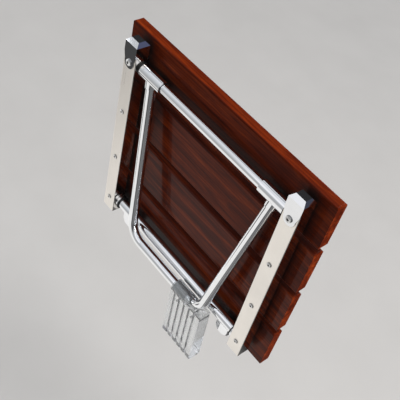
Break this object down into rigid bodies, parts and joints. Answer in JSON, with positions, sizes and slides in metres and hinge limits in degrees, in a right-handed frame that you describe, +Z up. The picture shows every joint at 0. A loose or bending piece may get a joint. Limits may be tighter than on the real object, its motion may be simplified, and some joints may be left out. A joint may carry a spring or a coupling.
{
  "type": "folding shower seat",
  "caption": "Wall-mounted folding shower seat: wooden slats on steel rails, a chrome hinge tube on wall brackets, and a folding U-shaped leg with a clear ribbed foot that stands on the floor.",
  "frame": {"origin": "on the wall face, at the centre of the screw holes of the two wall plates; the seat is drawn folded up", "axes": "+X along the hinge to the side that carries the foot, +Y into the wall, +Z up"},
  "size_m": [0.4, 0.0845, 0.4494],
  "materials": {
    "teak": "gloss lacquer",
    "rail_steel": "satin",
    "chrome": "mirror polish",
    "polished_cap": "mirror polish",
    "screw_steel": "turned",
    "clear_plastic": "clear moulding",
    "liner": "smooth",
    "black_nylon": "matte",
    "plug_grey": "matte"
  },
  "bodies": {
    "wall_bracket": {"hinge_tube": "chrome", "tube_plugs": "screw_steel", "pivot_pins": "screw_steel", "pivot_clips": "screw_steel", "pivot_washers": "black_nylon", "bracket_left": "chrome", "bracket_right": "chrome", "wall_plates": "rail_steel"},
    "seat": {"slat_front": "teak", "slat_second": "teak", "slat_third": "teak", "slat_rear": "teak", "rail_left": "rail_steel", "rail_right": "rail_steel", "rail_end_plugs": "plug_grey", "front_cap_left": "polished_cap", "front_cap_right": "polished_cap", "cap_screws": "screw_steel", "slat_screws": "screw_steel", "slat_spacers": "screw_steel", "front_tube": "chrome", "leg_washers": "black_nylon", "pivot_collars": "chrome", "pivot_bushes": "black_nylon"},
    "leg": {"leg_sleeve_left": "chrome", "leg_sleeve_right": "chrome", "leg_bushes": "black_nylon", "leg_collars": "chrome", "leg_frame": "chrome", "foot": "clear_plastic", "foot_liner": "liner", "foot_screws": "screw_steel"}
  },
  "joints": [
    {"name": "seat_hinge", "type": "hinge", "parent": "wall_bracket", "child": "seat", "pos_m": [0, -0.0524, 0.058], "axis": [1, 0, 0], "range_deg": [0, 90]},
    {"name": "leg_hinge", "type": "hinge", "parent": "seat", "child": "leg", "pos_m": [0, -0.0524, 0.333], "axis": [-1, 0, 0], "range_deg": [0, 90]}
  ],
  "couplings": [
    {"joint": "leg_hinge", "follows": "seat_hinge", "ratio": 1}
  ]
}
